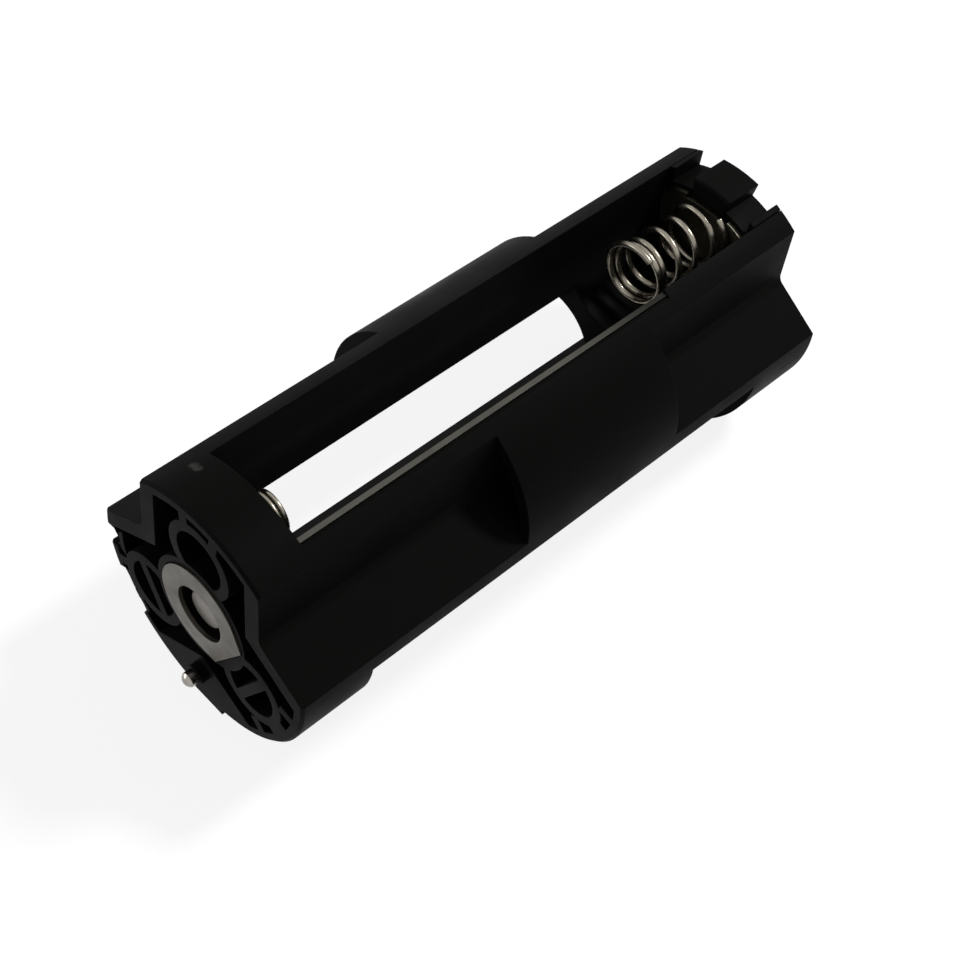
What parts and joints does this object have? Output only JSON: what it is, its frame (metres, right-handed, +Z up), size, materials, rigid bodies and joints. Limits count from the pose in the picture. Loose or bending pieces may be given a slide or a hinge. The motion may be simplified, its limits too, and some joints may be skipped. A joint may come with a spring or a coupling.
{
  "type": "cylindrical cell holder",
  "caption": "Round plastic magazine that holds small cylindrical cells side by side in open bays, with spring contacts at both ends and a cored contact face.",
  "frame": {"origin": "on the ground under the middle of the part's box", "axes": "+Y along the body from the contact face to the rear cap, +Z up through the middle of the upper bay, +X to the right seen from the contact face"},
  "size_m": [0.026, 0.0676, 0.0262],
  "materials": {
    "body": "fine spark texture, near black",
    "cap": "fine spark texture, near black",
    "ring": "nickel-plated, dull",
    "button": "nickel-plated, dull",
    "pin": "bright nickel plating",
    "strip": "nickel-plated strip",
    "plate": "nickel-plated sheet",
    "spring": "nickel-plated spring wire"
  },
  "bodies": {
    "root": {"frame": "body", "rear_cap": "cap", "ring_contact": "ring", "centre_contact": "button", "locating_pin": "pin", "link_strip_right": "strip", "rear_plate_top": "plate", "front_plate_top": "plate", "rear_spring_top": "spring", "front_spring_top": "spring", "rear_plate_left": "plate", "front_plate_left": "plate", "rear_spring_left": "spring", "front_spring_left": "spring", "rear_plate_right": "plate", "front_plate_right": "plate", "rear_spring_right": "spring", "front_spring_right": "spring"}
  },
  "joints": []
}
